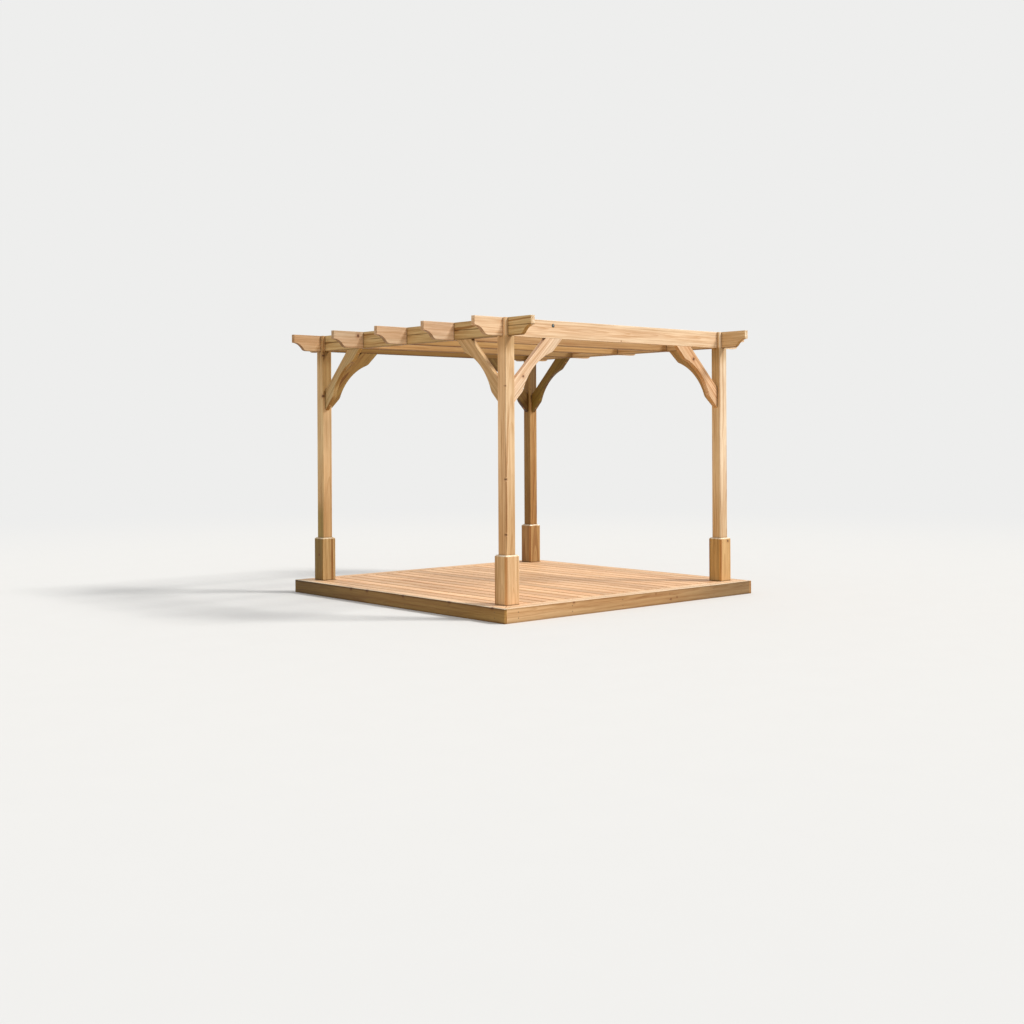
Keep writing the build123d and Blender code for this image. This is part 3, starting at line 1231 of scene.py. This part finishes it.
class PERGOLA_OT_roof(bpy.types.Operator):
    """Gives the beams and rafters their wood, and the beams the check along their outer faces"""

    bl_idname = "pergola.roof"
    bl_label = "Beams and Rafters"

    def execute(self, context):
        scene = context.scene
        for side in SIDES:
            timber = Timber("beam_" + side, ALONG_Y, BEAM)
            dress(timber, scene, self.beam_marks(timber, scene.pergola_colours))
        for name in ("front", "2", "3", "4", "back"):
            cut = FRONT_RAFTER if name == "front" else RAFTER
            timber = Timber("rafter_" + name, ALONG_X, cut)
            dress(timber, scene, self.rafter_marks(timber, scene.pergola_colours))
        return {"FINISHED"}

    def beam_marks(self, timber, colours):
        """A drying check half way up, painted shade along the lower edge and underneath, and a painted
        highlight on the front ends.
        """
        pale_highlight = timber.highlight_tint(colours)
        check_height = (timber.high.z - timber.low.z) * CHECK_PLACE

        def marks(log):
            height = log.place(UPRIGHT) - (timber.low.z + check_height)
            check = abs(height + log.swing("sway") * CHECK_SWAY).rise(*CHECK_WIDTH)
            check = check * log.noise("check").rise(*CHECK_LEVEL) * CHECKS[timber.node]
            return [
                (check, colours.gap_and_shade_tint),
                (log.lower_edge() * LOWER_EDGE_SHADE, colours.gap_and_shade_tint),
                (log.looks("-Y") * LIT_ENDS, pale_highlight),
                (log.underside(), colours.painted_shade_tint),
            ]
        return marks

    def rafter_marks(self, timber, colours):
        """Painted shade inside the roof, under it, along its lower edges and on the left ogees, painted
        highlights on the right ogees, and painted light and shade on the tails behind the front one.
        """
        pale_highlight = timber.highlight_tint(colours)
        left, right = ROOF_SHADE.get(timber.node, (WHITE, WHITE))
        behind = 1.0 if timber.node in ROOF_SHADE else 0.0
        half_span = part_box("beam_right")[0].x

        def marks(log):
            along = log.place(ALONG_X)
            inside = (abs(along) - half_span).rise(*INSIDE)
            outside = 1.0 - inside
            on_left = along.rise(*LEFT_HALF)
            on_right = 1.0 - on_left
            roof_shade = log.paint.mix(along.rise(-half_span, half_span), left, right)
            open_air = log.facing(FACINGS["+Y"]).at_least(log.facing(UPRIGHT))
            roof_shaded = inside * (1.0 - open_air.rise(*FACE_OPEN) * OPEN_SHARE)
            ogee = log.facing(UPRIGHT).rise(*HANGING) * outside
            tail = log.looks("-Y") * outside * behind
            drop = timber.high.z - log.place(UPRIGHT)
            near = (drop * LIFT_SLANT + along + half_span + LIFT_REACH).rise(*LIFT_EDGE)
            return [
                (log.underside() * inside, colours.painted_shade_tint),
                (roof_shaded, roof_shade),
                (log.lower_edge() * inside * behind * LOWER_EDGE_SHADE, colours.gap_and_shade_tint),
                (ogee * on_left * SHADED_OGEE, colours.gap_and_shade_tint),
                (ogee * on_right * LIT_OGEE, pale_highlight),
                (tail * near * on_left, TAIL_PAINTED_LIGHT),
                (tail * on_right, TAIL_SHADE),
            ]
        return marks


class PERGOLA_OT_deck(bpy.types.Operator):
    """Gives the deck boards and their border their wood, each field board from its own log"""

    bl_idname = "pergola.deck"
    bl_label = "Deck Boards"

    def execute(self, context):
        scene = context.scene
        field = Timber("deck_boards", ALONG_Y, DECK_BOARD)
        (first_low, first_high), (second_low, _) = solid_boxes("deck_boards")[:2]
        pitch = second_low.x - first_low.x
        width = first_high.x - first_low.x
        first = first_low.x - field.centre.x

        def stained_edges(log):
            place = (log.from_middle(field.side) - first) / pitch
            across = (place - place.floor()) * pitch
            edge = across.at_most(width - across).rise(*BOARD_EDGE)
            return [(edge, scene.pergola_colours.stain_tint)]

        dress(field, scene, stained_edges, boards=(first, pitch))
        for place, facing in DECK_EDGES.items():
            dress(Timber("deck_border_" + place, level_run(FACINGS[facing]), DECK_BORDER), scene)
        return {"FINISHED"}


class PERGOLA_OT_edge(bpy.types.Operator):
    """Gives the fascias round the deck's edge their wood, stained by the ground at the foot"""

    bl_idname = "pergola.edge"
    bl_label = "Fascias"

    def execute(self, context):
        for place, facing in DECK_EDGES.items():
            timber = Timber("fascia_" + place, level_run(FACINGS[facing]), FASCIA)
            dress(timber, context.scene, self.stains(timber, context.scene.pergola_colours))
        return {"FINISHED"}

    def stains(self, timber, colours):
        """Dirt at the foot, painted shade under the lip, painted light and shade along the board and a
        painted highlight on the top.
        """
        pale_highlight = timber.highlight_tint(colours)
        near, far = FASCIA_LIGHT_AND_SHADE.get(timber.node, (WHITE, WHITE))
        half = (timber.high - timber.low).dot(timber.grain) / 2
        lip_shade_strength = LIP_SHADES.get(timber.node, LIP_SHADE_STRENGTH)

        def marks(log):
            ragged = log.swing("ragged")
            height = log.place(UPRIGHT)
            foot = (height + ragged * FOOT_RAGGED).rise(*FASCIA_FOOT) * FASCIA_DIRT
            top = log.facing(UPRIGHT).rise(*FACE_UP)
            upright = 1.0 - top
            lip_shade = (height - timber.high.z).rise(*FASCIA_LIP) * upright * lip_shade_strength
            along = (log.place(timber.grain) + ragged * FADE_RAGGED) / half
            return [
                (foot.at_least(lip_shade), colours.gap_and_shade_tint),
                (along.rise(*NEAR_PAINTED_LIGHT) * upright, near),
                (along.rise(*FAR_PAINTED_SHADE) * upright, far),
                (top * LIT_TOP, pale_highlight),
            ]
        return marks


class PERGOLA_OT_joists(bpy.types.Operator):
    """Gives the joists under the deck their sawn wood, which shows from below only"""

    bl_idname = "pergola.joists"
    bl_label = "Joists"

    def execute(self, context):
        middles = sorted((low.y + high.y) / 2 for low, high in solid_boxes("deck_joists"))
        bay = max(b - a for a, b in zip(middles, middles[1:]))
        pitch = bay / JOIST_CELLS
        joists = Timber("deck_joists", ALONG_X, JOIST)
        dress(joists, context.scene, boards=(-pitch / 2, pitch))
        for side in SIDES:
            dress(Timber("rim_joist_" + side, ALONG_Y, JOIST), context.scene)
        return {"FINISHED"}


class PERGOLA_OT_deck_screws(bpy.types.Operator):
    """Puts two countersunk screws through each deck board at every joist"""

    bl_idname = "pergola.deck_screws"
    bl_label = "Deck Screws"

    def execute(self, context):
        fixings = context.scene.pergola_fixings
        turns = random.Random("deck screws")
        shape = screw_head(fixings.screw_radius, fixings.screw_rise)
        heap = Heap()
        for place in self.field(fixings) + self.border(fixings):
            heap.add(shape, Vector(place), UPRIGHT, turns.uniform(0.0, math.tau))
        heap.make("deck_screws", screw_materials(context.scene))
        return {"FINISHED"}

    def field(self, fixings):
        """Places on the field boards, clear of the post sleeves."""
        feet = [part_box("post_sleeve_%s_%s" % corner) for corner in CORNERS]
        edge = 2 * fixings.screw_radius
        places = []
        for low, high in solid_boxes("deck_boards"):
            for joist_low, joist_high in solid_boxes("deck_joists"):
                if joist_high.y < low.y or joist_low.y > high.y:
                    continue
                middle = (joist_low.y + joist_high.y) / 2
                y = min(max(middle, low.y + fixings.screw_end), high.y - fixings.screw_end)
                for x in (low.x + fixings.screw_inset, high.x - fixings.screw_inset):
                    covered = [a for a, b in feet
                               if a.x - edge < x < b.x + edge and a.y - edge < y < b.y + edge]
                    if not covered:
                        places.append((x, y, high.z))
        return places

    def border(self, fixings):
        """Places on the mitred border, over the joists that carry it."""
        places = []
        inset = fixings.screw_inset
        inner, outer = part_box("deck_boards")[1].x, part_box("deck_border_right")[1].x
        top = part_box("deck_boards")[1].z
        lines = sorted((low.y + high.y) / 2 for low, high in solid_boxes("deck_joists"))
        for row in (inner + INNER_ROW * inset, outer - OUTER_ROW * inset):
            for y in lines:
                if abs(y) < row - inset:
                    places += [(row, y, top), (-row, y, top)]
            for x in steps(2 * inset - row, row - 2 * inset, fixings.border_pitch):
                places += [(x, row, top), (x, -row, top)]
        return places


class PERGOLA_OT_fascia_screws(bpy.types.Operator):
    """Puts pairs of screws through the fascias into the joists behind them"""

    bl_idname = "pergola.fascia_screws"
    bl_label = "Fascia Screws"

    def execute(self, context):
        fixings = context.scene.pergola_fixings
        turns = random.Random("fascia screws")
        shape = screw_head(fixings.screw_radius, fixings.screw_rise)
        half_pair = fixings.pair_spacing / 2
        heap = Heap()
        for place, facing in DECK_EDGES.items():
            low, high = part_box("fascia_" + place)
            out = FACINGS[facing]
            run = level_run(out)
            surface = max(low.dot(out), high.dot(out))
            middle = (low.z + high.z) / 2
            start = low.dot(run) + fixings.fascia_margin
            end = high.dot(run) - fixings.fascia_margin
            count = math.ceil((end - start) / fixings.fascia_pitch - 0.5)
            stops = [start + fixings.fascia_pitch * i for i in range(count)]
            for stop in stops + [end]:
                for height in (middle - half_pair, middle + half_pair):
                    spot = run * stop + out * surface + UPRIGHT * height
                    heap.add(shape, spot, out, turns.uniform(0.0, math.tau))
        heap.make("fascia_screws", screw_materials(context.scene))
        return {"FINISHED"}


class PERGOLA_OT_sleeve_pins(bpy.types.Operator):
    """Puts fine pins through the sleeve boards"""

    bl_idname = "pergola.sleeve_pins"
    bl_label = "Sleeve Pins"

    def execute(self, context):
        radius = context.scene.pergola_fixings.pin_radius
        shape = turned(profile(PIN_PROFILE, radius, radius), PIN_SIDES, [OWN, OWN, DARK])
        heap = Heap()
        for corner in CORNERS:
            low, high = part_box("post_sleeve_%s_%s" % corner)
            post_low, post_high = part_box("post_%s_%s" % corner)
            centre = (low + high) / 2
            half = (high.x - low.x) / 2
            half_post = (post_high.x - post_low.x) / 2
            height = high.z - low.z
            rows = steps(low.z + height * PIN_LOWEST, high.z - height * PIN_HIGHEST, PIN_PITCH)
            for out in FACINGS.values():
                run = level_run(out)
                column = (half + half_post) / 2 if run == ALONG_Y else half_post * PIN_COLUMN
                for z in rows:
                    for way in (-column, column):
                        spot = Vector((centre.x, centre.y, z)) + out * half + run * way
                        heap.add(shape, spot, out)
        heap.make("sleeve_pins", screw_materials(context.scene))
        return {"FINISHED"}


class PERGOLA_OT_brace_plugs(bpy.types.Operator):
    """Puts a wooden plug over the screw at each end of every knee brace"""

    bl_idname = "pergola.brace_plugs"
    bl_label = "Brace Plugs"

    def execute(self, context):
        scene = context.scene
        fixings = scene.pergola_fixings
        rings = profile(PLUG_PROFILE, fixings.plug_radius, fixings.plug_rise)
        shape = turned(rings, PLUG_SIDES, [DARK, DARK, OWN, OWN, OWN])
        heap = Heap()
        for corner in CORNERS:
            for node, away in braces(*corner).items():
                low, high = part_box(node)
                reach = (high.z - low.z) / 2 - PLUG_INSET * fixings.plug_radius
                for way in (reach, -reach):
                    spot = (low + high) / 2 + (away + UPRIGHT) * way
                    heap.add(shape, spot, (away - UPRIGHT).normalized())
        materials = [plug_wood(scene), screw_materials(scene)[DARK]]
        heap.make("brace_plugs", materials)
        return {"FINISHED"}


class PERGOLA_OT_rafter_bolt(bpy.types.Operator):
    """Puts the zinc-plated bolt and washer on the face of the front rafter"""

    bl_idname = "pergola.rafter_bolt"
    bl_label = "Rafter Bolt"

    def execute(self, context):
        scene = context.scene
        fixings = scene.pergola_fixings
        colours = scene.pergola_colours
        low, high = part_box("rafter_front")
        head = fixings.bolt_radius
        seat = fixings.washer_rise
        washer = profile(WASHER_PROFILE, fixings.washer_radius, seat)
        dome = [(head, seat)]
        for i in range(1, DOME_RINGS + 1):
            lean = math.radians(90) * i / DOME_RINGS
            radius = head * max(math.cos(lean), DOME_FLAT)
            dome.append((radius, seat + head * DOME_RISE * math.sin(lean)))
        marks = [DARK] * (len(washer) + 1) + [OWN] * DOME_RINGS
        heap = Heap()
        spot = Vector((fixings.bolt_along, low.y, high.z - fixings.bolt_drop))
        heap.add(turned(washer + dome, BOLT_SIDES, marks), spot, FACINGS["-Y"])
        heap.make("rafter_bolt", [
            plain_finish("zinc", colours.zinc, roughness=0.30, metallic=0.85, mottle=0.5),
            plain_finish("washer", colours.washer, roughness=0.55, metallic=0.5, mottle=0.5),
        ])
        return {"FINISHED"}


def screw_materials(scene):
    """The coated head and the painted shade of recesses and rims, made once."""
    colours = scene.pergola_colours
    made = []
    for name, base, metallic in (("screw_head", colours.screw, 0.6),
                                 ("screw_recess", colours.screw_recess, 0.0)):
        known = bpy.data.materials.get(name)
        made.append(known or plain_finish(name, base, roughness=0.5, metallic=metallic, mottle=0.3))
    return made


def plug_wood(scene):
    """Wood whose grain crosses that of the brace."""
    material, paint = new_material("plug_wood")
    streak = paint.noise(paint.vector("MULTIPLY", paint.point(), PLUG_GRAIN), detail=3.0)
    mean = scene.pergola_colours.brace_timber
    body = paint.mix(streak, mean, times(mean, PLUG_DARK))
    rough = PLUG_ROUGHNESS + streak * PLUG_ROUGH_STREAK
    paint.finish(paint.surface({"Base Color": body, "Roughness": rough}))
    return material


# The floor's sides, its clouds per metre and how much they show
FLOOR_SIDES = 96
FLOOR_CLOUDS = 3.0
FLOOR_MOTTLE = 0.02

# How far off the sun lamp is drawn, in metres, and the width of the camera's sensor in mm
KEY_DISTANCE = 8.0
SENSOR_WIDTH = 36.0


class PERGOLA_OT_stage(bpy.types.Operator):
    """Sets the pale floor, the soft light and the camera"""

    bl_idname = "pergola.stage"
    bl_label = "Stage"

    def execute(self, context):
        scene = context.scene
        settings = scene.pergola_stage
        self.floor(scene, settings)
        self.world(scene, settings)
        self.key(scene, settings)
        self.camera(scene, settings)
        scene.view_settings.view_transform = "Standard"
        return {"FINISHED"}

    def floor(self, scene, settings):
        """A round floor that fades into the background far from the object."""
        mesh = bpy.data.meshes.new("floor")
        disc = bmesh.new()
        bmesh.ops.create_circle(
            disc, cap_ends=True, radius=settings.floor_radius, segments=FLOOR_SIDES)
        disc.to_mesh(mesh)
        disc.free()
        material, paint = new_material("floor")
        seen = seen_ray(paint)
        position = paint.node("ShaderNodeNewGeometry", None, None, "Position")
        mottle = paint.noise(paint.scale(position, FLOOR_CLOUDS), 3.0) - 0.5
        albedo = paint.mix(seen, settings.floor_bounce, settings.floor)
        albedo = paint.scale(albedo, 1.0 + mottle * FLOOR_MOTTLE)
        matt = paint.surface({"Base Color": albedo, "Roughness": 0.9, "Specular IOR Level": 0.1})
        glow = paint.node(
            "ShaderNodeEmission", None, {"Color": rgba(settings.background), "Strength": 1.0})
        far = paint.size(position).rise(settings.fade_start, settings.fade_end)
        both = paint.node("ShaderNodeMixShader", None, {0: far * seen, 1: matt, 2: glow})
        paint.finish(both)
        mesh.materials.append(material)
        floor = bpy.data.objects.new("floor", mesh)
        scene.collection.objects.link(floor)

    def world(self, scene, settings):
        """Even light from all round, and the background for what the camera sees."""
        world = bpy.data.worlds.new("studio")
        world.use_nodes = True
        scene.world = world
        paint = Paint(world.node_tree)
        seen = seen_ray(paint)
        fill = tuple(part * settings.fill_strength for part in settings.fill)
        light = paint.mix(seen, fill, settings.background)
        paint.finish(paint.node("ShaderNodeBackground", None, {"Color": light, "Strength": 1.0}),
                     "ShaderNodeOutputWorld")

    def key(self, scene, settings):
        """The sun lamp, from the front and the right."""
        lamp = bpy.data.lights.new("key", "SUN")
        lamp.energy = settings.key_strength
        lamp.angle = settings.key_size
        lamp.color = settings.key
        level = math.cos(settings.key_height)
        towards = Vector((
            level * math.sin(settings.key_bearing),
            -level * math.cos(settings.key_bearing),
            math.sin(settings.key_height)))
        key = bpy.data.objects.new("key", lamp)
        key.rotation_euler = towards.to_track_quat("Z", "Y").to_euler()
        key.location = towards * KEY_DISTANCE
        scene.collection.objects.link(key)

    def camera(self, scene, settings):
        """The camera where the picture was taken from."""
        lens = bpy.data.cameras.new("camera")
        lens.lens = settings.camera_lens
        lens.sensor_width = SENSOR_WIDTH
        lens.shift_y = settings.camera_shift
        camera = bpy.data.objects.new("camera", lens)
        turn = Matrix.Rotation(-settings.camera_turn, 4, "Z")
        level = Matrix.Rotation(math.radians(90), 4, "X")
        roll = Matrix.Rotation(settings.camera_roll, 4, "Z")
        camera.matrix_world = Matrix.Translation(settings.camera_place) @ turn @ level @ roll
        scene.collection.objects.link(camera)
        scene.camera = camera


def seen_ray(paint):
    """1 for what the camera sees, also in a mirror or through glass, and 0 for other light."""
    rays = paint.node("ShaderNodeLightPath", None, None, "Is Camera Ray")
    mirrored = rays.output("Is Glossy Ray").at_least(rays.output("Is Transmission Ray"))
    return rays.at_least(mirrored)


class PERGOLA_PT_looks(bpy.types.Panel):
    """Lists the pieces and their settings"""

    bl_idname = "PERGOLA_PT_looks"
    bl_label = "Pergola"
    bl_space_type = "VIEW_3D"
    bl_region_type = "UI"
    bl_category = "Pergola"

    def draw(self, context):
        for operator in OPERATORS:
            self.layout.operator(operator.bl_idname)
        for name, group in GROUPS.items():
            box = self.layout.box()
            for key in group.__annotations__:
                box.prop(getattr(context.scene, name), key)


GROUPS = {
    "pergola_colours": PergolaColours,
    "pergola_grain": PergolaGrain,
    "pergola_fixings": PergolaFixings,
    "pergola_stage": PergolaStage,
}
OPERATORS = (
    PERGOLA_OT_posts,
    PERGOLA_OT_sleeves,
    PERGOLA_OT_braces,
    PERGOLA_OT_roof,
    PERGOLA_OT_deck,
    PERGOLA_OT_edge,
    PERGOLA_OT_joists,
    PERGOLA_OT_deck_screws,
    PERGOLA_OT_fascia_screws,
    PERGOLA_OT_sleeve_pins,
    PERGOLA_OT_brace_plugs,
    PERGOLA_OT_rafter_bolt,
    PERGOLA_OT_stage,
)
CLASSES = (*GROUPS.values(), *OPERATORS, PERGOLA_PT_looks)


def register():
    """Makes the settings, operators and panel known to Blender."""
    for made in CLASSES:
        bpy.utils.register_class(made)
    for name, group in GROUPS.items():
        setattr(bpy.types.Scene, name, PointerProperty(type=group))


def unregister():
    """Takes them away again."""
    for name in GROUPS:
        delattr(bpy.types.Scene, name)
    for made in reversed(CLASSES):
        bpy.utils.unregister_class(made)


def main():
    """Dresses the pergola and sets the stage."""
    register()
    for operator in OPERATORS:
        getattr(bpy.ops.pergola, operator.bl_idname.split(".")[1])()


if __name__ == "__main__":
    main()
